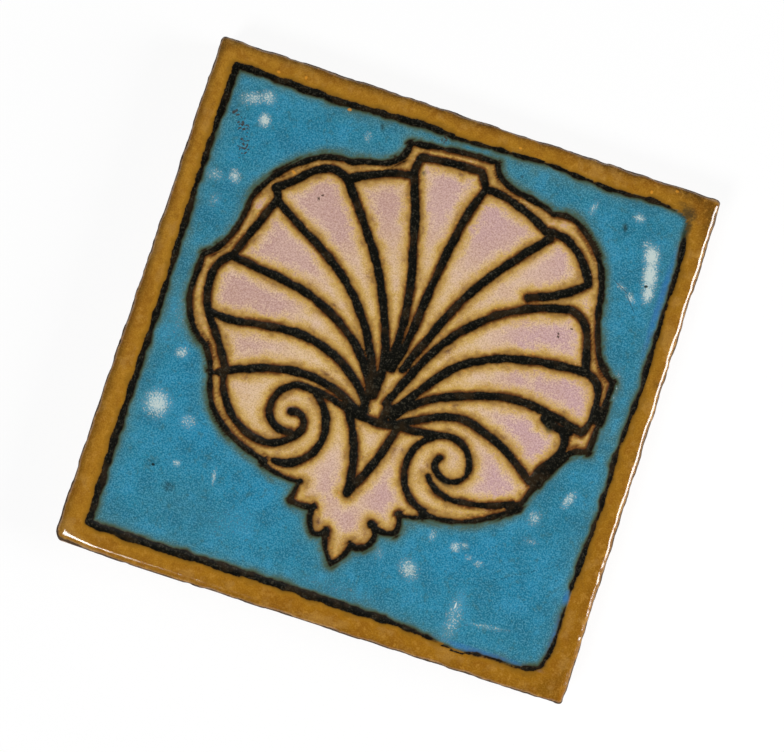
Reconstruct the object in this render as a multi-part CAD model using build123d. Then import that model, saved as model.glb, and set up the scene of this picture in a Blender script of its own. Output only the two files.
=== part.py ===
from build123d import *
import os

# A square wall tile of pressed clay. A scallop shell is drawn on its face in bare dry lines, and the
# glazes stand in pools between them. The tile lies on its back: +X runs to the right of the drawing,
# +Y to the top of the fan and +Z out of the glaze, with the origin at the middle of the back.

# Body, in millimetres.
tile_side = 152.4
tile_thickness = 12.7
edge_radius = 1.5
corner_ease = 0.4
worn_corner_width = 2.1
worn_corner_length = 2.8

# Keyed back: shallow pressed slots that the bedding mortar grips, with flat lands between them.
key_count = 6
key_land = 8.0
key_margin = 12.0
key_depth = 1.6
key_corner_radius = 3.0
key_draft = 12.0

# Dry lines: bare channels that kept the glazes apart in the kiln.
line_depth = 0.6
frame_line = 2.2
frame_fine_line = 1.4
outline_line = 2.4
rib_line = 2.2
scroll_line = 2.0

# The drawing is set out at full size on a field of drawn_field between the middles of its frame lines.
drawn_field = 137.4
border_width = 7.5

corner_radius = edge_radius + corner_ease
half_side = tile_side / 2
drawing_scale = (tile_side - 2 * border_width) / drawn_field
key_length = tile_side - 2 * key_margin
key_width = (key_length - (key_count - 1) * key_land) / key_count

# Each stroke of the brush is a run of points. A stroke of arc_points is a plain arc.
arc_points = 3
frame_strokes = [
    [(-67.8, -68.2), (-68.2, -52), (-68.5, -20), (-68.6, 4), (-69.3, 28), (-69.5, 50), (-69.2, 69)],
    [(-69.2, 69), (-58, 68.8), (-44, 68.4), (-28, 68.7), (-16, 69.3), (-4, 69)],
    [(-67.8, -68.2), (-52, -68.7), (-36, -68.6), (-20, -68.4), (0, -68.5), (20, -68.6)],
]
frame_fine_strokes = [
    [(-4, 69), (12, 69.6), (24, 70), (36, 69.3), (46, 69), (56, 69.3), (64, 69.5), (67.4, 67.6)],
    [(67.4, 67.6), (68.7, 62), (69.6, 48), (69.5, 34), (70, 20), (69.6, 8), (68.8, -4)],
    [(68.8, -4), (69.3, -16), (69, -28), (68.4, -40), (68.4, -56), (68.2, -63), (66.6, -68)],
    [(20, -68.6), (28, -69), (36, -69.8), (46, -70.2), (54, -69.4), (60, -69.7), (66.6, -68)],
]
outline_strokes = [
    [(-26, -36.2), (-35.8, -33), (-42.2, -28.8), (-46.4, -23.6), (-48.6, -17), (-52.4, -10.2)],
    [(-52.4, -10.2), (-58.3, -4.8), (-61, 2), (-61.2, 9), (-61, 14.2)],
    [(-61, 14.2), (-56.9, 18.6), (-54.3, 25), (-53.1, 34)],
    [(-53.1, 34), (-48.9, 41.8), (-42.4, 48.2), (-33.6, 52.6), (-29, 52.6)],
    [(-29, 52.6), (-22, 54.8), (-16.4, 57.7), (-15.2, 60.4), (-15, 63.2)],
    [(-15, 63.2), (-2, 65), (10.8, 65.8)],
    [(10.8, 65.8), (12, 62.8), (14.2, 61), (22, 58.8), (30.3, 56.5)],
    [(30.3, 56.5), (34.2, 57.4), (40.8, 54.4), (45.7, 50), (49.6, 42.8), (51.1, 35)],
    [(51.1, 35), (52.4, 30), (56.5, 20.3), (61.5, 15.8)],
    [(61.5, 15.8), (61.4, 6), (60.8, -5.4)],
    [(60.8, -5.4), (55, -8.4), (51.8, -14.5), (49.3, -19.6), (46.7, -26.6)],
    [(46.7, -26.6), (39.1, -32.2), (29.3, -36.2), (20.6, -36.2)],
]
rim_strokes = [
    [(-44.8, -15), (-49.5, -7.7), (-53.3, -2.4), (-55.8, 1.4), (-56.9, 7.2), (-56.2, 13), (-53, 16.4)],
    [(-48.6, -17), (-46.6, -16.6), (-44.8, -15)],
    [(-53, 16.4), (-49.6, 26), (-46, 35.6)],
    [(-47.7, 38.8), (-46.4, 37.4), (-45.8, 35.6)],
    [(-47.7, 38.8), (-41.4, 44.2), (-35, 48.8), (-28.8, 47.5)],
    [(-28.8, 47.5), (-22, 51.3), (-11, 54.7)],
    [(-11, 54.7), (-11.2, 57.4), (-10.6, 60.2)],
    [(-10.6, 60.2), (-2, 61.4), (7.2, 61.7)],
    [(7.2, 61.7), (8.4, 59.8), (9.8, 57.4)],
    [(9.8, 57.4), (16.9, 56.7), (23.9, 54.3), (30, 51.2)],
    [(30, 51.2), (36.2, 50.9), (41.2, 47.8), (46.4, 40.4)],
    [(46.4, 40.4), (41, 36.2), (31, 31.5)],
    [(43, 31.8), (47.8, 30.4), (51.2, 24), (53.6, 16.2)],
    [(53.6, 16.2), (57.4, 13.8), (59.1, 9), (59.1, 3), (57.4, -0.6)],
    [(46, 0.2), (50, -1.4), (54, -1.4)],
    [(52, -1.8), (53.8, -5.6), (50.9, -12), (48.4, -18.4)],
]
rib_strokes = [
    [(-44.6, -15.4), (-37, -12.2), (-26, -9.5), (-15, -10.4), (-5.4, -15)],
    [(-54.6, -0.6), (-44, -0.7), (-32, 1.1), (-20, -0.4), (-10.3, -5.3), (-4.2, -11.6)],
    [(-53, 16.4), (-40, 14.7), (-28, 12.3), (-15.2, 5.6), (-8, -1), (-3.6, -9)],
    [(-45.8, 35.6), (-32, 27.4), (-20, 19.4), (-11, 9), (-5, -2), (-2.6, -9)],
    [(-28.6, 47.4), (-21, 37.8), (-11.6, 24.2), (-5.6, 11), (-2.4, 0), (-2.6, -9)],
    [(-11, 54.7), (-7.6, 45), (-4, 32), (-1.6, 21), (-0.5, 8), (-0.6, 0)],
    [(9.8, 57.4), (6.3, 45), (4.3, 32), (3, 19), (2, 8), (0.2, 0)],
    [(31.8, 49.6), (27.4, 44.6), (21.7, 37.6), (14.5, 27), (9, 15.5), (5.2, 6), (3.2, 0.6)],
    [(44, 31.8), (38, 30.6), (25, 24.4), (14, 14.2), (7.8, 4), (1.6, -10)],
    [(53.6, 16.2), (42, 15.3), (29, 12.3), (17.4, 5.8), (10.5, -2.6), (3.4, -12.6)],
    [(57.4, -0.6), (49, 1.1), (40, 2.7), (27, 0.4), (15, -4.2), (4.6, -13.4)],
    [(48.2, -19), (41, -14), (32, -9.5), (22, -7.8), (12, -11.6), (5.4, -15.2)],
]
scroll_strokes = [
    [(-6, -15.8), (-14, -13.6), (-22.6, -12.7)],
    [(-22.6, -12.7), (-27.5, -15.4), (-29.4, -20.6)],
    [(-29.4, -20.6), (-27.4, -25.2), (-21.8, -26.2)],
    [(-18.4, -13.2), (-14.2, -17.6), (-12.3, -25)],
    [(-12.3, -25), (-15.3, -31.9), (-23.5, -35.6)],
    [(-23.2, -20.6), (-20, -20.9), (-19.7, -26)],
    [(-19.7, -26), (-23, -29.5), (-29.4, -31.2)],
    [(-29.4, -31.2), (-39.2, -26.6), (-44.9, -16)],
    [(5, -15.4), (14, -14.8), (22, -13.4)],
    [(22, -13.4), (28.4, -16.6), (29.7, -22.8)],
    [(29.7, -22.8), (25, -25.6), (20.6, -23.2)],
    [(20.6, -23.2), (20.3, -21.4), (21.2, -20)],
    [(17, -15.2), (13.4, -19.6), (12.5, -26.6)],
    [(12.5, -26.6), (15.8, -32.8), (22.4, -36.2)],
    [(19.4, -26), (23.6, -29.4), (30, -30.2)],
    [(30, -30.2), (39, -28.5), (47, -25)],
]
heart_strokes = [
    [(-8.2, -15.2), (0, -16), (8.4, -15.2)],
    [(-7.6, -15.6), (-3.4, -24), (-0.9, -37.6)],
    [(6.8, -15.8), (4.8, -23.8), (-0.6, -36.6)],
    [(-3.8, -10), (-4, -12.4), (-3.6, -15.4)],
    [(2.4, -11), (2.5, -13), (2, -15.4)],
]
leaf_strokes = [
    [(-27, -36.6), (-21.4, -38.6), (-14.8, -38.8)],
    [(-14.8, -38.8), (-15.2, -41.8), (-15.6, -44.4)],
    [(-15.6, -44.4), (-12.4, -45), (-9, -44.4)],
    [(-9, -44.4), (-8.6, -48.2), (-6.6, -51.4)],
    [(-6.6, -51.4), (-4.6, -51), (-3.4, -49.8)],
    [(-3.4, -49.8), (-2.2, -53.8), (0.9, -58)],
    [(0.9, -58), (3.6, -54.6), (4.6, -51.4)],
    [(4.6, -51.4), (9, -50.2), (8.4, -43.8)],
    [(8.4, -43.8), (11.6, -45), (15.4, -44.4)],
    [(15.4, -44.4), (15.8, -41.8), (14.8, -39)],
    [(14.8, -39), (19.4, -38.4), (24, -36.6)],
]


def ribbon(points, width):
    """The flat band that one stroke of the brush leaves, an arc or a longer curve with round ends."""
    curve = ThreePointArc if len(points) == arc_points else Spline
    path = curve(*[(x * drawing_scale, y * drawing_scale) for x, y in points])
    stations = [i / (len(points) - 1) for i in range(len(points))]
    reach = [(path % t) * (width / 2) for t in stations]
    left = [path @ t + r.rotate(Axis.Z, 90) for t, r in zip(stations, reach)]
    right = [path @ t - r.rotate(Axis.Z, 90) for t, r in zip(stations, reach)]
    tip = ThreePointArc(left[-1], path @ 1 + reach[-1], right[-1])
    tail = ThreePointArc(right[0], path @ 0 - reach[0], left[0])
    return make_face([curve(*left), tip, curve(*right), tail])


def dry_lines():
    """All strokes joined into one flat pattern, raised so that the cut stays open above the face."""
    drawing = [
        (frame_strokes, frame_line),
        (frame_fine_strokes, frame_fine_line),
        (outline_strokes, outline_line),
        (rim_strokes, rib_line),
        (rib_strokes, rib_line),
        (scroll_strokes, scroll_line),
        (heart_strokes, rib_line),
        (leaf_strokes, scroll_line),
    ]
    bands = [ribbon(points, width) for strokes, width in drawing for points in strokes]
    joined = Sketch() + bands
    pattern = Sketch() + [face.fix() for face in joined.faces()]
    return extrude(pattern, 2 * line_depth)


def slab():
    """The pressed body with its rounded arris, its keyed back and one corner worn off."""
    body = extrude(RectangleRounded(tile_side, tile_side, corner_radius), tile_thickness)
    face = body.faces().sort_by(Axis.Z)[-1]
    body = fillet(face.edges(), edge_radius)
    worn = Polygon(
        (-half_side, -half_side),
        (-half_side + worn_corner_width, -half_side),
        (-half_side, -half_side + worn_corner_length),
        align=None,
    )
    body -= extrude(worn, tile_thickness)
    slot = RectangleRounded(key_length, key_width, key_corner_radius)
    key = extrude(slot, key_depth, taper=key_draft)
    return body - GridLocations(0, key_width + key_land, 1, key_count) * key


wall_tile = slab() - Pos(0, 0, tile_thickness - line_depth) * dry_lines()

os.makedirs("parts", exist_ok=True)
export_step(wall_tile, "parts/wall_tile.step")
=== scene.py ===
import math
from collections import deque
from types import SimpleNamespace

import bmesh
import bpy
import numpy as np
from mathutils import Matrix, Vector, noise
from mathutils.bvhtree import BVHTree


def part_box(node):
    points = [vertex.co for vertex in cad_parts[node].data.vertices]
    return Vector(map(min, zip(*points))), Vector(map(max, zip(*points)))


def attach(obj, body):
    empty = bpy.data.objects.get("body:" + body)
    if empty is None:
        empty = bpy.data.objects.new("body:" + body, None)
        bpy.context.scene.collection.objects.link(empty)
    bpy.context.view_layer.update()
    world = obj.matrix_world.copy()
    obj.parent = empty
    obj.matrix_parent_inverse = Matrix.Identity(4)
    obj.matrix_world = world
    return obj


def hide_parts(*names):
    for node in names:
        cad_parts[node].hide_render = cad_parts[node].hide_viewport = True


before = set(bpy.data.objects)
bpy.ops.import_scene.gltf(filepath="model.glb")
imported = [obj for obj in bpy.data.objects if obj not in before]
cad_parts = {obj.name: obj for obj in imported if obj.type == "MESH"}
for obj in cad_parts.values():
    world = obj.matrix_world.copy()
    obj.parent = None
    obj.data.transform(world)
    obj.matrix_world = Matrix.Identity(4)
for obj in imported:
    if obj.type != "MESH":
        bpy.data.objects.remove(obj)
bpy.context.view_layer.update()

MM = 0.001

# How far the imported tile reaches, in millimetres.
tile_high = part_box("wall_tile")[1] / MM
half_side = tile_high.x
face_level = tile_high.z

# Glazed face: a fine net that bends over the arris and a little way down the sides.
net_cells = 300
arris_width = 2.8
arris_drop = 2.3
arris_squareness = 4
skirt = 1.6
pool_sink = 0.06
shoulder_drop = 0.14
shoulder_reach = 1.0
line_depth = 0.46
line_slope = 0.8
pool_swell = 0.03
edge_nibble = 0.45
facet_grain = 0.08
sharp_angle = 40

# How far the hand strayed from the drawing, more so along the frame, and where it drew finer or heavier.
brush_waver = 0.35
frame_waver = 0.25
frame_from = 64
quick_waver = 0.4
outline_cells = 6
outline_lift = 0.38
rib_weight = 0.08
border_lift = 0.1

# How many waves of each unevenness there are to a millimetre.
slow_waves = 0.24
quick_waves = 0.55
swell_waves = 0.22
nibble_waves = 0.2
facet_waves = 1.3

# The glaze ends this far up the sides, over a scorched band of clay.
hem_high, hem_low = 11.8, 11.3
scorch_low, scorch_high = 8.6, 9.4

# The shell glaze turns pink this far out from the hinge of the fan, sooner to the sides than upwards.
hinge_level = -12
pink_sideways = 1.25
pink_upwards = 0.8
pink_from = 33
pink_full = 47

# Worn corner at the lower left, where the face slopes away towards it too, and the keyed back.
worn_width = 2.1
worn_length = 2.8
rub_lean = 0.3
rub_start = 92.6
rub_bend = 0.05
key_count = 6
key_land = 8.0
key_margin = 12.0
key_depth = 1.6
key_draft = 0.34
key_corner = 3.0

# Which glaze a cell of the net has, and how far left and down a cell is that is surely in the field.
in_border, in_field, in_shell, under_line = 0, 1, 2, -1
field_point = -60

# What lies this near to the ground belongs to the flat back.
back_level = 1e-6

# Table, lamps and camera, in metres, watts and degrees, with the lens in millimetres.
floor_reach = 40.0
floor_rim = 4.0
floor_white = 0.9
floor_grey = 0.94
sky_strength = 0.12
right_box = {"place": (1.44, 0.22, 0.56), "size": (0.68, 0.7), "power": 30}
lower_left_box = {"place": (-0.63, -1.24, 1.5), "size": (0.6, 0.6), "power": 29}
camera_place = (-0.00594, -0.0207, 0.42)
camera_turn = (2.189, -1.724, 18.137)
camera_lens = 65.68
camera_sensor = 36

# Marks on the glaze, each with its place, half length, half width, turn in degrees and strength.
pale_scuffs = [
    (-61.5, 61.2, 3.6, 1.9, 20, 0.75),
    (-57.6, 62.8, 1.9, 2.2, 70, 0.85),
    (-56.6, 56.2, 1.5, 1.9, 10, 1.25),
    (-59.6, 38.2, 1.6, 2.1, 30, 0.85),
    (-65, 37, 2.6, 1.8, 0, 0.5),
    (-63, 30, 2.0, 3.0, 0, 0.3),
    (-58, -14.4, 1.8, 1.5, 30, 0.85),
    (-60, -30.2, 3.3, 3.5, 10, 1.1),
    (-50, -32.4, 2.4, 2.0, 0, 0.55),
    (-49.4, -44.6, 1.1, 1.0, 0, 0.75),
    (-38.2, -45, 2.4, 0.6, 98, 0.7),
    (61.2, 53.8, 3.2, 2.1, 105, 1.3),
    (62.4, 48.6, 5.0, 2.0, 100, 1.25),
    (63.4, 43.6, 3.0, 1.6, 95, 1.15),
    (58.8, 56.6, 1.4, 2.0, 0, 0.5),
    (54.4, 63.4, 1.7, 1.4, 0, 0.75),
    (41, 62, 2.4, 1.2, 80, 0.5),
    (55.6, 42.8, 1.8, 0.9, -30, 0.6),
    (59, 40.6, 1.8, 1.0, -45, 0.8),
    (33.2, -42.6, 1.5, 1.4, 0, 0.85),
    (35.6, -41.4, 1.2, 1.0, 0, 0.7),
    (37.6, -44.4, 1.2, 0.9, 0, 0.5),
    (26, -41.6, 1.2, 1.8, 0, 0.55),
    (22.4, -52.8, 3.0, 2.4, -40, 0.8),
    (13, -51, 2.0, 2.4, 0, 0.3),
    (38.8, -62, 2.6, 7.0, 0, 0.45),
    (40.8, -45.2, 1.4, 1.0, 0, 0.55),
    (59.8, -20, 1.3, 2.8, -20, 0.8),
    (52, -28, 2.0, 2.2, 0, 0.6),
    (53, -34.6, 2.4, 1.2, 0, 0.35),
    (-27, 61, 1.3, 1.6, 0, 0.5),
    (49, -61.4, 6.0, 0.9, 8, 0.4),
    (62, 14, 2.0, 7.0, 0, 0.35),
    (60, 3, 5, 9, 0, 0.2),
    (-62, -5, 5, 12, 0, 0.18),
    (5, -64, 16, 3, 0, 0.16),
    (-30, -56, 12, 6, 20, 0.14),
]
dark_blots = [
    (-49.6, -51.6, 2.2, 1.9, 0, 0.6),
    (-56, -46.5, 3.2, 1.8, 20, 0.4),
    (-24, 65, 0.8, 1.6, 20, 0.7),
    (18.6, 64.2, 0.6, 0.6, 0, 0.8),
    (64.8, -48.6, 1.2, 1.4, 0, 0.45),
    (34.6, -50.6, 1.3, 1.0, 0, 0.4),
    (-8.6, 56.2, 0.9, 0.9, 0, 0.8),
    (67.4, 68.9, 3.2, 2.8, 0, 0.85),
    (68.4, 64.6, 1.4, 4.2, 0, 0.95),
    (65.5, 71.2, 3.0, 1.2, 0, 0.5),
    (-23, -19.8, 1.9, 1.1, 15, 0.5),
    (24.4, -26.4, 3.6, 1.0, -20, 0.55),
    (30.4, -29.4, 2.6, 0.8, 12, 0.45),
    (51.4, 59.4, 0.8, 1.4, 10, 0.9),
    (48, -2.4, 2.0, 1.4, -35, 0.75),
    (46.4, 40.6, 1.4, 1.2, 0, 0.6),
    (31.6, 49.6, 1.5, 1.1, 40, 0.9),
    (-3.4, -13.6, 1.4, 1.2, 0, 1.0),
    (2.2, -12.8, 1.4, 1.3, 0, 1.0),
]
rust_freckles = [
    (-65, 55.4, 1.4, 1.0, -30, 1.2),
    (-62, 52.6, 2.8, 1.4, -45, 1.1),
    (-59.8, 46.6, 1.6, 3.4, 10, 0.9),
    (42.4, 23.6, 0.7, 1.1, 20, 1.1),
    (-6, 67.4, 0.9, 1.8, 0, 1.4),
    (-34.8, 40.6, 1.2, 2.0, 0, 0.5),
    (-2.4, -14, 1.0, 1.2, 0, 1.1),
    (7, -13.8, 1.4, 1.0, 0, 1.0),
]
deep_pools = [
    (-24, -44, 14, 9, -20, 0.8),
    (40, -43, 18, 9, 20, 0.9),
    (54, -50, 12, 8, 0, 0.7),
    (-44, -35, 9, 9, 0, 0.9),
    (-54, -16, 6, 12, 0, 0.7),
    (14, -54, 10, 7, 0, 0.5),
    (-42, 50, 10, 10, 0, 0.8),
    (-50, 28, 8, 14, 0, 0.5),
]
olive_washes = [
    (66.6, 1, 3.4, 11, 0, 1.3),
    (-67, 8, 3.0, 10, 0, 1.1),
    (16, 62, 8, 4, 0, 0.5),
    (24, 67, 12, 2.6, 0, 0.9),
    (-20, 66.6, 13, 2.4, 0, 0.6),
    (-66, -66, 8, 5, 0, 0.6),
    (66, -34, 3, 12, 0, 0.5),
    (-45, -56, 10, 7, 0, 0.35),
    (-66, 60, 3, 8, 0, 0.5),
]
# Where the glaze is bluer, mostly along the right and bottom frame lines.
blue_tints = [
    (67.6, -46.6, 1.2, 3.0, 0, 0.8),
    (45, -69.2, 7.0, 1.0, -3, 0.8),
    (67.4, 42, 1.4, 20, 0, 0.8),
    (67.4, -58, 1.2, 10, 0, 0.6),
    (50, -68.6, 20, 1.0, 0, 0.7),
    (-23.6, -20, 1.7, 1.1, 20, 0.6),
]

# Where the hand drew a line finer than the rest, by how much it gives way on each side.
fine_lines = [
    (24, 70, 44, 5, 0, 0.22),
    (-44, 70, 28, 5, 0, 0.04),
    (66.6, 67, 4.0, 3.4, -45, 1.3),
    (68, 30, 4, 44, 0, 0.1),
    (68, -46.6, 3, 2.6, 0, 1.3),
    (68, -62, 3, 8, 0, 0.25),
    (44, -70, 14, 4, 0, 0.42),
    (42, -69.4, 3.4, 2, 0, 0.5),
    (-69, 4, 4, 72, 0, 0.36),
    (-48, 10, 12, 40, 0, 0.1),
    (69, -70.6, 2.6, 2.6, 0, 1.4),
    (-5.8, 68, 1.6, 3, 0, 0.5),
    (28, -25, 14, 11, 0, 0.32),
]

# Where it drew one heavier, the same way.
bold_lines = [
    (0, -48, 22, 12, 0, 0.22),
    (-68.6, 64, 4, 8, 0, 0.1),
]

# Hairline marks too thin for the net: place, half length, half width, turn and waver.
hair_cracks = [
    (55.4, 42.8, 3.4, 0.16, -27, 0.5),
    (59.6, 38.8, 3.2, 0.16, -50, 0.5),
]
long_scratch = [(53, -44.4, 13.0, 0.3, 31, 1.4)]
black_dots = [
    (62.2, 45.2, 0.55, 0.4, 20, 0.3),
    (45.6, 26.8, 0.5, 0.2, 10, 0.3),
    (-55.6, -47.0, 0.5, 0.4, 0, 0.3),
]
amber_flecks = [
    (-57.2, 70.7, 0.5, 0.4, 0, 0.3),
    (-49.2, 71.6, 0.4, 0.5, 0, 0.3),
    (-34.5, 66.8, 0.6, 0.4, 10, 0.3),
    (15.6, 71.8, 0.4, 0.3, 0, 0.3),
    (55.5, 71.7, 0.4, 0.5, 0, 0.3),
    (62.5, 74.2, 0.5, 0.4, 0, 0.3),
    (-44, 44.6, 0.7, 0.4, -20, 0.3),
    (35.3, 33.4, 0.5, 0.4, 0, 0.3),
]
bright_streak = [(38.3, -58.4, 0.22, 0.9, 0, 0.2)]
pale_scratch = [(48.6, -61.2, 6.2, 0.2, 8, 1.2)]

# Where the shell stays cream although it is far out, and where it is pink although it is not.
cream_patches = [
    (-33, -22, 14, 13, 0, 1.0),
    (26, 34, 10, 14, -25, 0.6),
]
pink_patches = [
    (-5, -37, 9, 9, 0, 0.9),
    (9, -36, 7, 9, 0, 1.0),
    (2, -45, 10, 6, 0, 0.9),
    (32, -18, 9, 6, -20, 0.7),
]


def srgb(red, green, blue):
    """A colour read on the 0 to 255 scale, as the shader takes it."""
    parts = [channel / 255 for channel in (red, green, blue)]
    return [p / 12.92 if p <= 0.04045 else ((p + 0.055) / 1.055) ** 2.4 for p in parts] + [1.0]


# Colours from the middle of a dry line outwards, by distance from the line's edge in millimetres.
line_colours = [(-1.2, srgb(8, 6, 1)), (-0.3, srgb(12, 8, 3)), (-0.08, srgb(36, 23, 9))]
shell_colours = line_colours + [
    (0.1, srgb(96, 64, 25)),
    (0.4, srgb(143, 105, 49)),
    (0.9, srgb(174, 135, 60)),
    (1.5, srgb(195, 157, 74)),
    (2.3, srgb(209, 174, 106)),
    (3.4, srgb(219, 188, 144)),
    (6.4, srgb(219, 189, 152)),
]
left_pink = srgb(192, 155, 147)
right_pink = srgb(195, 158, 160)
field_colours = line_colours + [
    (0.06, srgb(42, 38, 24)),
    (0.38, srgb(66, 80, 66)),
    (0.75, srgb(77, 109, 104)),
    (1.3, srgb(70, 121, 130)),
    (2.4, srgb(55, 125, 143)),
    (5, srgb(41, 126, 150)),
    (8, srgb(37, 127, 153)),
]
border_colours = line_colours + [
    (0.05, srgb(116, 80, 20)),
    (0.35, srgb(147, 103, 22)),
    (1.1, srgb(162, 113, 24)),
    (2.3, srgb(164, 114, 26)),
    (3.3, srgb(156, 107, 25)),
    (4.2, srgb(134, 90, 18)),
    (5.2, srgb(88, 57, 9)),
    (6.6, srgb(60, 39, 6)),
]


def pattern_of(tile):
    """The tile's whole surface and the walls of its dry lines, for asking how far a point is from a line."""
    mesh = tile.data
    points = [v.co / MM for v in mesh.vertices]
    faces = [tuple(p.vertices) for p in mesh.polygons]
    inside = half_side - 2 * arris_width
    walls = []
    for face in mesh.polygons:
        middle = face.center / MM
        upright = abs(face.normal.z) < 0.2 and middle.z > face_level - 1
        if upright and max(abs(middle.x), abs(middle.y)) < inside:
            walls.append(tuple(face.vertices))
    return BVHTree.FromPolygons(points, faces), BVHTree.FromPolygons(points, walls)


def line_reach(surface, walls, x, y):
    """Distance to the nearest edge of a dry line, negative inside the line."""
    level = face_level - line_depth / 2
    near = walls.find_nearest(Vector((x, y, level)))[0]
    reach = math.hypot(near.x - x, near.y - y)
    hit = surface.ray_cast(Vector((x, y, face_level + 1)), Vector((0, 0, -1)))[0]
    cut = hit is not None and hit.z < level
    return -reach if cut and max(abs(x), abs(y)) < half_side - arris_width else reach


def waver(x, y):
    """The unsteadiness of the hand that drew the lines."""
    slow = noise.noise(Vector((x * slow_waves, y * slow_waves, 3.1)))
    quick = noise.noise(Vector((x * quick_waves, y * quick_waves, 6.7)))
    swing = brush_waver + (frame_waver if max(abs(x), abs(y)) > frame_from else 0)
    return swing * (slow + quick_waver * quick)


def nibble(x, y):
    """How much of the arris is gone at a point."""
    rough = noise.turbulence(Vector((x * nibble_waves, y * nibble_waves, 1.7)), 3, False)
    return edge_nibble * (0.4 + rough)


def beside(area, steps):
    """The cells within a few steps of an area."""
    for _ in range(steps):
        area = area | np.roll(area, 1, 0) | np.roll(area, -1, 0) | np.roll(area, 1, 1) | np.roll(area, -1, 1)
    return area


def flood(open_cells, start):
    """The cells that can be walked to from start without crossing a line."""
    reached = np.zeros_like(open_cells)
    reached[start] = True
    queue = deque([start])
    while queue:
        row, column = queue.popleft()
        for there in ((row + 1, column), (row - 1, column), (row, column + 1), (row, column - 1)):
            if min(there) >= 0 and max(there) < len(open_cells) and open_cells[there] and not reached[there]:
                reached[there] = True
                queue.append(there)
    return reached


def spread(labels):
    """Lets each glaze's label run under the lines until they meet."""
    while (labels == under_line).any():
        grown = labels.copy()
        for axis in (0, 1):
            for step in (1, -1):
                next_to = np.roll(labels, step, axis)
                grown = np.where((grown == under_line) & (next_to != under_line), next_to, grown)
        labels = grown
    return labels


def softly(marks, x, y):
    """The strength of soft oval marks at each point."""
    total = np.zeros_like(x)
    for across, up, length, width, turn, strength in marks:
        c, s = math.cos(math.radians(turn)), math.sin(math.radians(turn))
        along = ((x - across) * c + (y - up) * s) / length
        aside = ((y - up) * c - (x - across) * s) / width
        total = np.maximum(total, strength * np.exp(-(along**2 + aside**2)))
    return total


def given_way(x, y):
    """How much finer the lines are at each point, or less than nothing where they are heavier."""
    total = np.zeros_like(x)
    for mark in fine_lines:
        total = total + softly([mark], x, y)
    return total - softly(bold_lines, x, y)


def blush(x, y):
    """How far the shell glaze may turn pink: out towards the rim, apart from its patches."""
    out = np.hypot(x * pink_sideways, (y - hinge_level) * pink_upwards)
    share = np.clip((out - pink_from) / (pink_full - pink_from), 0, 1)
    return np.maximum(share * (1 - softly(cream_patches, x, y)), softly(pink_patches, x, y))


def glaze_level(reach):
    """How far the glaze is below the face: flat in pools, rounded at their shoulders, low in the lines."""
    shoulder = shoulder_drop * np.exp(-np.maximum(reach, 0) / shoulder_reach)
    groove = (line_depth - shoulder_drop) * (1 - np.exp(np.minimum(reach, 0) / line_slope))
    return pool_sink + shoulder + groove


def corner_rub(x, y):
    """How far the face falls away towards the worn corner."""
    return rub_bend * np.maximum(-rub_lean * x - y - rub_start, 0) ** 2


def fold_over(u, v):
    """Lays flat net places onto the face, the arris and the top of the sides."""
    flat = half_side - arris_width
    over_x = np.sign(u) * np.maximum(np.abs(u) - flat, 0)
    over_y = np.sign(v) * np.maximum(np.abs(v) - flat, 0)
    over = (np.abs(over_x) ** arris_squareness + np.abs(over_y) ** arris_squareness) ** (1 / arris_squareness)
    bend = np.minimum(over / arris_width, math.pi / 2)
    out = np.divide(arris_width * np.sin(bend), over, out=np.zeros_like(over), where=over > 0)
    worn = [nibble(a, b) for a, b in zip(u, v)]
    below = np.clip((over - arris_width * math.pi / 2) / skirt, 0, 1)
    out = out * (1 - np.clip(worn, 0, edge_nibble) * (1 - below) / arris_width)
    x = np.clip(u, -flat, flat) + over_x * out
    y = np.clip(v, -flat, flat) + over_y * out
    drop = arris_drop * (1 - np.cos(bend)) + np.maximum(over - arris_width * math.pi / 2, 0)
    return x, y, drop


def wear_corner(bm):
    """Rubs the lower left corner down to a small facet."""
    facet = Vector((worn_length, worn_width, 0)).normalized()
    reach = facet.dot(Vector((half_side - worn_width, half_side, 0)))
    for vert in bm.verts:
        beyond = facet.dot(-vert.co) - reach
        if beyond > 0:
            left_over = noise.noise(vert.co * facet_waves) * facet_grain
            vert.co += facet * max(beyond - left_over, 0)


def key_back(bm):
    """Presses the key slots into the flat back."""
    key_half = half_side - key_margin
    slot = (2 * key_half - (key_count - 1) * key_land) / key_count
    starts = [-key_half + row * (slot + key_land) for row in range(key_count)]
    cuts = [(Vector((side * key_half, 0, 0)), Vector((1, 0, 0))) for side in (-1, 1)]
    cuts += [(Vector((0, y, 0)), Vector((0, 1, 0))) for start in starts for y in (start, start + slot)]
    for place, normal in cuts:
        back = [f for f in bm.faces if all(v.co.z < back_level for v in f.verts)]
        geom = back + list({e for f in back for e in f.edges}) + list({v for f in back for v in f.verts})
        bmesh.ops.bisect_plane(bm, geom=geom, dist=1e-5, plane_co=place, plane_no=normal)
    slots = []
    for face in bm.faces:
        middle = face.calc_center_median()
        in_row = any(start < middle.y < start + slot for start in starts)
        if all(v.co.z < back_level for v in face.verts) and in_row and abs(middle.x) < key_half:
            slots.append(face)
    pressed = bmesh.ops.extrude_discrete_faces(bm, faces=slots)["faces"]
    corners = []
    for face in pressed:
        middle = face.calc_center_median()
        for vert in face.verts:
            vert.co.x -= math.copysign(key_draft, vert.co.x - middle.x)
            vert.co.y -= math.copysign(key_draft, vert.co.y - middle.y)
            vert.co.z += key_depth
            corners += [e for e in vert.link_edges if e.other_vert(vert).co.z < back_level]
    bmesh.ops.bevel(
        bm,
        geom=corners,
        offset=key_corner,
        segments=4,
        profile=0.5,
        affect="EDGES",
        material=-1,
        clamp_overlap=True,
    )


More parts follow.
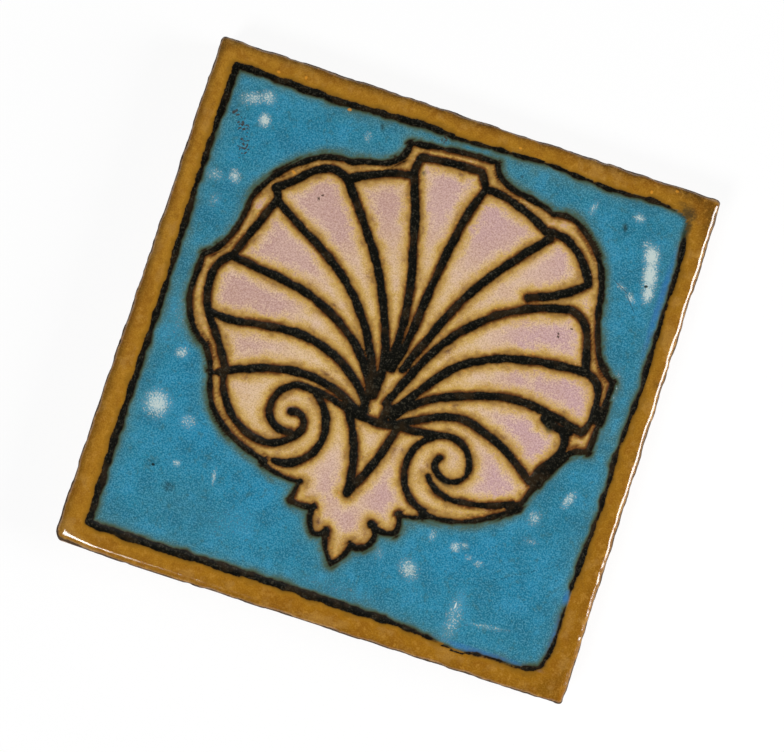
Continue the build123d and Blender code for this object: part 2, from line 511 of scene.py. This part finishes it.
def glazed_tile():
    """The whole tile as one closed skin, with what its paint has to know kept on its points."""
    surface, walls = pattern_of(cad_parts["wall_tile"])
    bm = bmesh.new()
    reach_of = half_side - arris_width + arris_width * math.pi / 2 + skirt
    names = ("reach", "field", "shell", "blush", "pale", "blot", "rust", "blue", "deep", "olive")
    layers = {name: bm.verts.layers.float.new(name) for name in names}
    bmesh.ops.create_grid(bm, x_segments=net_cells, y_segments=net_cells, size=reach_of)
    verts = list(bm.verts)
    net = np.array([v.co for v in verts])
    x, y, drop = fold_over(net[:, 0], net[:, 1])
    reach = np.array([line_reach(surface, walls, a, b) for a, b in zip(x, y)])

    row_of = np.rint((net[:, 1] + reach_of) / (2 * reach_of) * net_cells).astype(int)
    column_of = np.rint((net[:, 0] + reach_of) / (2 * reach_of) * net_cells).astype(int)
    open_cells = np.zeros((net_cells + 1, net_cells + 1), bool)
    open_cells[row_of, column_of] = reach > 0
    labels = np.where(open_cells, in_shell, under_line)
    labels[flood(open_cells, (0, 0))] = in_border
    field_seed = round((reach_of + field_point) / (2 * reach_of) * net_cells)
    labels[flood(open_cells, (field_seed, field_seed))] = in_field
    outline = beside(labels == in_field, outline_cells) & beside(labels == in_shell, outline_cells)
    region = spread(labels)[row_of, column_of]

    reach = reach + np.array([waver(a, b) for a, b in zip(x, y)]) + given_way(x, y)
    elsewhere = border_lift * (region == in_border) - rib_weight * (region != in_border)
    reach = reach + np.where(outline[row_of, column_of], outline_lift, elsewhere)
    swell = np.array([noise.noise(Vector((a * swell_waves, b * swell_waves, 8.4))) for a, b in zip(x, y)])
    level = face_level - drop - glaze_level(reach) - pool_swell * (1 + swell) - corner_rub(x, y)
    carried = {
        "reach": reach,
        "field": (region == in_field).astype(float),
        "shell": (region == in_shell).astype(float),
        "blush": blush(x, y),
        "pale": softly(pale_scuffs, x, y),
        "blot": softly(dark_blots, x, y),
        "rust": softly(rust_freckles, x, y),
        "blue": softly(blue_tints, x, y),
        "deep": softly(deep_pools, x, y),
        "olive": softly(olive_washes, x, y),
    }
    for i, vert in enumerate(verts):
        vert.co = Vector((x[i], y[i], level[i]))
        for name, values in carried.items():
            vert[layers[name]] = values[i]

    rim = [e for e in bm.edges if e.is_boundary]
    side = bmesh.ops.extrude_edge_only(bm, edges=rim)["geom"]
    for vert in side:
        if isinstance(vert, bmesh.types.BMVert):
            vert.co.z = 0
    foot = [e for e in side if isinstance(e, bmesh.types.BMEdge) and e.is_boundary]
    wear_corner(bm)
    bmesh.ops.contextual_create(bm, geom=foot)
    key_back(bm)
    for vert in bm.verts:
        vert.co.z = max(vert.co.z, 0)
    bmesh.ops.recalc_face_normals(bm, faces=bm.faces)
    for face in bm.faces:
        face.smooth = True
    bmesh.ops.scale(bm, vec=Vector((MM, MM, MM)), verts=bm.verts)
    mesh = bpy.data.meshes.new("glazed_tile")
    bm.to_mesh(mesh)
    bm.free()
    mesh.set_sharp_from_angle(angle=math.radians(sharp_angle))
    tile = bpy.data.objects.new("glazed_tile", mesh)
    bpy.context.scene.collection.objects.link(tile)
    return tile


class Wire:
    """One socket of a material, so that a sum on it is written as a sum."""

    def __init__(self, socket):
        self.socket = socket

    def math(self, operation, first, second):
        return add(self.socket.id_data, "ShaderNodeMath", {"operation": operation}, {0: first, 1: second})

    def __add__(self, other):
        return self.math("ADD", self, other)

    __radd__ = __add__

    def __sub__(self, other):
        return self.math("SUBTRACT", self, other)

    def __rsub__(self, other):
        return self.math("SUBTRACT", other, self)

    def __mul__(self, other):
        return self.math("MULTIPLY", self, other)

    __rmul__ = __mul__

    def __truediv__(self, other):
        return self.math("DIVIDE", self, other)


def add(tree, kind, settings=None, sockets=None, output=0):
    """Any node: its settings first, then the values or links of its sockets."""
    node = tree.nodes.new(kind)
    for name, value in (settings or {}).items():
        if name == "stops":
            ramp = node.color_ramp
            while len(ramp.elements) < len(value):
                ramp.elements.new(0.5)
            for element, (place, _) in zip(ramp.elements, value):
                element.position = place
            for element, (_, colour) in zip(ramp.elements, value):
                element.color = colour
        else:
            setattr(node, name, value)
    for name, value in (sockets or {}).items():
        if isinstance(name, int):
            socket = node.inputs[name]
        else:
            socket = next(s for s in node.inputs if s.enabled and s.name == name)
        if isinstance(value, Wire):
            tree.links.new(value.socket, socket)
        else:
            socket.default_value = value
    outputs = [s for s in node.outputs if s.enabled]
    if isinstance(output, str):
        return Wire(next(s for s in outputs if s.name == output))
    return Wire(outputs[output]) if outputs else node


def kept(tree, name):
    """A number that the skin's points carry."""
    return add(tree, "ShaderNodeAttribute", {"attribute_name": name}, output=2)


def grain(tree, place, size, detail=2.0, rough=0.55):
    """Even noise from 0 to 1 with lumps of about size millimetres."""
    sockets = {"Vector": place, "Scale": 1 / (size * MM), "Detail": detail, "Roughness": rough}
    return add(tree, "ShaderNodeTexNoise", {}, sockets)


def ease(tree, value, low, high):
    """0 below low, 1 above high, and smooth between."""
    sockets = {"Value": value, "From Min": low, "From Max": high}
    return add(tree, "ShaderNodeMapRange", {"interpolation_type": "SMOOTHSTEP"}, sockets)


def blend(tree, share, under, over):
    """One colour laid over another."""
    return add(tree, "ShaderNodeMix", {"data_type": "RGBA"}, {"Factor": share, "A": under, "B": over})


def coated(tree, colour, coats):
    """Thin coats laid one after another, each with its share and its colour."""
    for share, coat in coats:
        colour = blend(tree, share, colour, coat)
    return colour


def hair(tree, at, wander, marks, soft=0.5):
    """Thin marks laid along a line that strays a little."""
    total = 0.0
    for across, up, length, width, turn, stray in marks:
        c, s = math.cos(math.radians(turn)), math.sin(math.radians(turn))
        along = ((at.x - across) * c + (at.y - up) * s) / length
        aside = ((at.y - up) * c - (at.x - across) * s + (wander - 0.5) * stray) / width
        total = total + ease(tree, along * along + aside * aside, 1 + soft, 1 - soft)
    return total


def by_reach(tree, reach, colours):
    """A glaze's colours by distance from the lines."""
    low, high = colours[0][0], colours[-1][0]
    stops = [((place - low) / (high - low), colour) for place, colour in colours]
    return add(tree, "ShaderNodeValToRGB", {"stops": stops}, {"Fac": (reach - low) / (high - low)})


def ground(tree):
    """What every glaze goes by: the place, noise from fine to broad, and the distance from a line."""
    place = add(tree, "ShaderNodeTexCoord", output="Object")
    x, y, height = [add(tree, "ShaderNodeSeparateXYZ", {}, {"Vector": place}, axis) / MM for axis in "XYZ"]
    specks = grain(tree, place, 0.45, 2.0, 0.7)
    fine = grain(tree, place, 0.9)
    spots = grain(tree, place, 1.7)
    reach = kept(tree, "reach") + (fine - 0.5) * 0.5 + (spots - 0.5) * 0.4
    away = ease(tree, reach, 0.2, 1.6)
    return SimpleNamespace(
        place=place,
        x=x,
        y=y,
        height=height,
        specks=specks,
        fine=fine,
        spots=spots,
        lumps=grain(tree, place, 5.0),
        patches=grain(tree, place, 7.0, 3.0, 0.6),
        cloud=grain(tree, place, 18.0),
        reach=reach,
        away=away,
        inward=ease(tree, reach, 1.0, 3.0),
        dark_specks=ease(tree, specks, 0.5, 0.62) * away,
        pale_specks=ease(tree, specks, 0.5, 0.38) * away,
    )


def shell_glaze(tree, at):
    """Cream that turns golden towards the lines and pink out in the ribs."""
    drift = (at.lumps - 0.5) * 2.4 + (at.spots - 0.5) * 2.4 + (at.patches - 0.5) * 4.0
    strayed = at.reach + at.away * drift
    dithered = strayed + (at.specks - 0.5) * 5.0 + (at.fine - 0.5) * 3.6
    dithered = dithered + (at.lumps - 0.5) * 3.0 + (at.spots - 0.5) * 2.0
    pink = blend(tree, ease(tree, at.x, -30, 40), left_pink, right_pink)
    edge = ease(tree, at.reach, 1.2, 0.15) * ease(tree, at.reach, -0.35, 0.05)
    ember = edge * ease(tree, at.patches, 0.44, 0.6)
    gold = ease(tree, at.fine, 0.58, 0.7) * ease(tree, at.reach, 0.2, 0.7) * ease(tree, at.reach, 2.0, 1.0)
    coats = [
        (ease(tree, at.lumps, 0.5, 0.66) * at.away * 0.3, srgb(204, 164, 88)),
        (ease(tree, at.lumps, 0.48, 0.34) * at.inward * 0.4, srgb(218, 186, 172)),
        (ease(tree, at.spots, 0.52, 0.66) * at.away * 0.3, srgb(196, 154, 84)),
        (kept(tree, "blush") * ease(tree, dithered, 1.3, 4.8), pink),
        (ease(tree, at.fine, 0.5, 0.68) * at.away * 0.22, srgb(160, 118, 78)),
        (ease(tree, at.fine, 0.5, 0.32) * at.inward * 0.24, srgb(226, 194, 176)),
        (ease(tree, at.cloud, 0.5, 0.66) * at.away * 0.15, srgb(184, 144, 104)),
        (ease(tree, at.cloud, 0.48, 0.34) * at.inward * 0.25, srgb(214, 182, 166)),
        (at.dark_specks * 0.36, srgb(152, 112, 92)),
        (at.pale_specks * (0.14 + 0.22 * at.inward), srgb(228, 196, 174)),
        (ember * 0.6, srgb(92, 46, 14)),
        (gold * 0.6, srgb(206, 142, 56)),
    ]
    return coated(tree, by_reach(tree, strayed, shell_colours), coats)


def field_glaze(tree, at):
    """Turquoise, mottled from specks to clouds, olive at the lines and scuffed pale, with painted shade
    towards the right and the bottom.
    """
    strayed = at.reach + at.away * (at.lumps - 0.5) * 2.4
    fringe = ease(tree, at.reach + (at.lumps - 0.5) * 7.0 + (at.spots - 0.5) * 2.0, 1.8, 0.2)
    fringe = fringe * ease(tree, at.reach, -0.1, 0.3)
    scuff = kept(tree, "pale")
    pale = ease(tree, scuff + (at.specks - 0.5) * 2.2 + (at.fine - 0.5) * 1.2, 0.2, 1.15)
    pale = pale * ease(tree, scuff, 0.03, 0.3) * ease(tree, at.reach, 0.2, 1.0)
    coats = [
        (kept(tree, "deep") * at.inward * 0.8, srgb(22, 130, 170)),
        (kept(tree, "olive") * at.away * (0.3 + 0.6 * at.lumps), srgb(82, 112, 100)),
        (fringe * 0.4, srgb(66, 84, 62)),
        # Painted shade: the field is darkened towards the right and towards the bottom.
        (ease(tree, at.x, 34, 74) * at.away * 0.35, srgb(30, 104, 128)),
        (ease(tree, at.y, -48, -74) * at.away * 0.2, srgb(30, 104, 128)),
        (ease(tree, at.cloud, 0.5, 0.64) * at.away * 0.3, srgb(36, 110, 134)),
        (ease(tree, at.cloud, 0.5, 0.36) * at.inward * 0.3, srgb(40, 140, 178)),
        (ease(tree, at.patches, 0.5, 0.64) * at.away * 0.55, srgb(28, 102, 126)),
        (ease(tree, at.patches, 0.48, 0.34) * at.inward * 0.5, srgb(52, 146, 184)),
        (ease(tree, at.spots, 0.5, 0.66) * at.away * 0.25, srgb(30, 100, 120)),
        (ease(tree, at.spots, 0.5, 0.34) * at.inward * 0.22, srgb(50, 144, 182)),
        (ease(tree, at.fine, 0.5, 0.68) * at.away * 0.34, srgb(24, 94, 122)),
        (ease(tree, at.fine, 0.5, 0.32) * at.away * 0.3, srgb(84, 152, 180)),
        (at.dark_specks * 0.5, srgb(20, 88, 112)),
        (at.pale_specks * 0.42, srgb(100, 162, 182)),
        (ease(tree, at.spots, 0.6, 0.7) * at.away * 0.3, srgb(66, 104, 100)),
        (pale * 0.85, srgb(204, 216, 210)),
    ]
    return coated(tree, by_reach(tree, strayed, field_colours), coats)


def border_glaze(tree, at):
    """Honey brown, darker at the rim and smoked along the frame line, with painted shade to the right and
    painted light to the left.
    """
    strayed = at.reach + at.away * (at.lumps - 0.5) * 1.6
    smoke = ease(tree, at.reach + (at.lumps - 0.5) * 4.0, 1.6, 0.2) * ease(tree, at.reach, -0.2, 0.2)
    coats = [
        (ease(tree, at.y, 20, -60) * at.away * 0.6, srgb(152, 99, 0)),
        # Painted shade and painted light: the border is darkened towards the right and lightened towards the
        # left.
        (ease(tree, at.x, 0, 80) * at.away * 0.3, srgb(130, 86, 8)),
        (ease(tree, at.x, 0, -80) * at.away * 0.25, srgb(182, 132, 44)),
        (ease(tree, at.lumps, 0.42, 0.7) * at.away * 0.6, srgb(136, 84, 8)),
        (ease(tree, at.spots, 0.54, 0.7) * at.away * 0.42, srgb(186, 134, 50)),
        (ease(tree, at.spots, 0.46, 0.3) * at.away * 0.42, srgb(128, 82, 10)),
        (ease(tree, at.patches, 0.48, 0.34) * at.away * 0.45, srgb(172, 128, 60)),
        (at.dark_specks * 0.22, srgb(108, 68, 8)),
        (at.pale_specks * 0.22, srgb(192, 146, 60)),
        (smoke * 0.22, srgb(62, 38, 8)),
    ]
    return coated(tree, by_reach(tree, strayed, border_colours), coats)


def marked(tree, at, glaze):
    """Blue tints, freckles, smudges, cracks and flecks over the glazes."""
    wander = grain(tree, at.place, 3.0)
    dashed = ease(tree, at.specks, 0.46, 0.58)
    freckle = kept(tree, "rust")
    rust = ease(tree, freckle * 0.25 + grain(tree, at.place, 0.8), 0.66, 0.76)
    rust = rust * ease(tree, freckle, 0.08, 0.3)
    blue = ease(tree, kept(tree, "blue") * (0.5 + at.spots), 0.2, 0.9) * ease(tree, at.reach, -0.1, 0.4)
    blot = ease(tree, kept(tree, "blot") * (0.5 + at.fine), 0.12, 0.85)
    coats = [
        (blue * 0.5, srgb(44, 106, 178)),
        (rust * 0.85, srgb(62, 46, 34)),
        (blot * 0.75, srgb(30, 42, 32)),
        (hair(tree, at, wander, hair_cracks) * 0.55, srgb(20, 36, 40)),
        (hair(tree, at, wander, long_scratch) * dashed * 0.4, srgb(14, 64, 84)),
        (hair(tree, at, wander, black_dots) * 0.9, srgb(16, 22, 18)),
        (hair(tree, at, wander, amber_flecks, 0.8) * 0.7, srgb(218, 146, 44)),
        (hair(tree, at, wander, bright_streak) * 0.7, srgb(236, 238, 226)),
        (hair(tree, at, wander, pale_scratch) * dashed * 0.35, srgb(186, 202, 190)),
    ]
    return coated(tree, glaze, coats)


def dry_line(tree, at):
    """The black of the lines, brown in places, with grey patches and specks painted in as glints."""
    coats = [
        (ease(tree, at.patches, 0.5, 0.64) * 0.55, srgb(48, 34, 16)),
        # Painted glints: grey patches and grey specks over the black.
        (ease(tree, at.fine, 0.52, 0.7) * 0.55, srgb(58, 54, 42)),
        (ease(tree, at.specks, 0.56, 0.7) * 0.45, srgb(70, 66, 56)),
    ]
    return coated(tree, srgb(6, 6, 2), coats)


def bare_clay(tree, at):
    """Fired clay, scorched just under the glaze."""
    clay = blend(tree, grain(tree, at.place, 1.2, 4.0), srgb(186, 148, 116), srgb(206, 174, 142))
    scorch = blend(tree, at.spots, srgb(36, 24, 8), srgb(84, 58, 22))
    coats = [
        (ease(tree, at.lumps, 0.52, 0.72) * 0.5, srgb(166, 124, 94)),
        (ease(tree, at.specks, 0.6, 0.7) * 0.5, srgb(120, 84, 60)),
        (ease(tree, at.height + (at.lumps - 0.5) * 2.0, scorch_low, scorch_high), scorch),
    ]
    return coated(tree, clay, coats)


def sheen(tree, colour, roughness, bump, extra):
    """A surface of one sheen."""
    sockets = {"Base Color": colour, "Roughness": roughness, "Normal": bump}
    return add(tree, "ShaderNodeBsdfPrincipled", {}, sockets | extra)


def tile_paint():
    """Three glazes with dry lines between them, over fired clay."""
    material = bpy.data.materials.new("tile_glaze")
    material.use_nodes = True
    tree = material.node_tree
    tree.nodes.clear()
    at = ground(tree)
    glaze = blend(tree, kept(tree, "field"), border_glaze(tree, at), field_glaze(tree, at))
    glaze = blend(tree, kept(tree, "shell"), glaze, shell_glaze(tree, at))
    glaze = marked(tree, at, glaze)
    line = blend(tree, ease(tree, at.reach, 0.0, -0.3), glaze, dry_line(tree, at))

    swells = (at.lumps + at.spots * 0.3) * ease(tree, at.reach, -0.2, 0.4) + at.fine * 0.3
    bump = add(tree, "ShaderNodeBump", {}, {"Strength": 0.3, "Distance": 0.0001, "Height": swells})
    glossy = sheen(tree, glaze, 0.12 + (at.fine - 0.5) * 0.06, bump, {"IOR": 1.5})
    dull = sheen(tree, line, 0.5, bump, {"Specular IOR Level": 0.08})
    bare = sheen(tree, bare_clay(tree, at), 0.85, bump, {"Specular IOR Level": 0.3})
    in_line = ease(tree, at.reach, 0.6, 0.1)
    below = ease(tree, at.height + (at.spots - 0.5) * 0.8, hem_high, hem_low)
    face = add(tree, "ShaderNodeMixShader", {}, {"Fac": in_line, 1: glossy, 2: dull})
    whole = add(tree, "ShaderNodeMixShader", {}, {"Fac": below, 1: face, 2: bare})
    add(tree, "ShaderNodeOutputMaterial", {}, {"Surface": whole})
    return material


def pale_floor():
    """A plain white table that keeps a little of the tile's shadow, turned up a little at its far rim."""
    bm = bmesh.new()
    bmesh.ops.create_grid(bm, x_segments=1, y_segments=1, size=floor_reach)
    far_rim = bmesh.ops.extrude_edge_only(bm, edges=list(bm.edges))["geom"]
    for vert in far_rim:
        if isinstance(vert, bmesh.types.BMVert):
            vert.co.z = floor_rim
    mesh = bpy.data.meshes.new("pale_floor")
    bm.to_mesh(mesh)
    bm.free()
    floor = bpy.data.objects.new("pale_floor", mesh)
    bpy.context.scene.collection.objects.link(floor)
    material = bpy.data.materials.new("pale_floor")
    material.use_nodes = True
    tree = material.node_tree
    tree.nodes.clear()
    kinds = ("Is Camera Ray", "Is Glossy Ray", "Is Transmission Ray")
    seen = sum(add(tree, "ShaderNodeLightPath", output=kind) for kind in kinds)
    diffuse = add(tree, "ShaderNodeBsdfDiffuse", {}, {"Color": (floor_grey, floor_grey, floor_grey, 1)})
    white = add(tree, "ShaderNodeEmission", {}, {"Color": (1, 1, 1, 1), "Strength": 1.0})
    surface = add(tree, "ShaderNodeMixShader", {}, {"Fac": seen * floor_white, 1: diffuse, 2: white})
    add(tree, "ShaderNodeOutputMaterial", {}, {"Surface": surface})
    mesh.materials.append(material)


def soft_light(name, place, size, power):
    """A soft box that looks at the tile."""
    data = bpy.data.lights.new(name, "AREA")
    data.shape = "RECTANGLE"
    data.size, data.size_y = size
    data.energy = power
    lamp = bpy.data.objects.new(name, data)
    bpy.context.scene.collection.objects.link(lamp)
    lamp.location = place
    lamp.rotation_euler = (-Vector(place)).to_track_quat("-Z", "Y").to_euler()


def studio():
    """Plain soft light and a camera that looks down on the tile, turned as in the photograph."""
    scene = bpy.context.scene
    scene.view_settings.view_transform = "Standard"
    world = bpy.data.worlds.new("studio")
    world.use_nodes = True
    sky = world.node_tree.nodes["Background"]
    sky.inputs["Color"].default_value = (1, 1, 1, 1)
    sky.inputs["Strength"].default_value = sky_strength
    scene.world = world
    soft_light("right_box", **right_box)
    soft_light("lower_left_box", **lower_left_box)
    data = bpy.data.cameras.new("camera")
    data.lens = camera_lens
    data.sensor_width = camera_sensor
    camera = bpy.data.objects.new("camera", data)
    scene.collection.objects.link(camera)
    camera.location = camera_place
    camera.rotation_euler = [math.radians(turn) for turn in camera_turn]
    scene.camera = camera


tile = glazed_tile()
tile.data.materials.append(tile_paint())
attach(tile, "root")
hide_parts("wall_tile")
pale_floor()
studio()
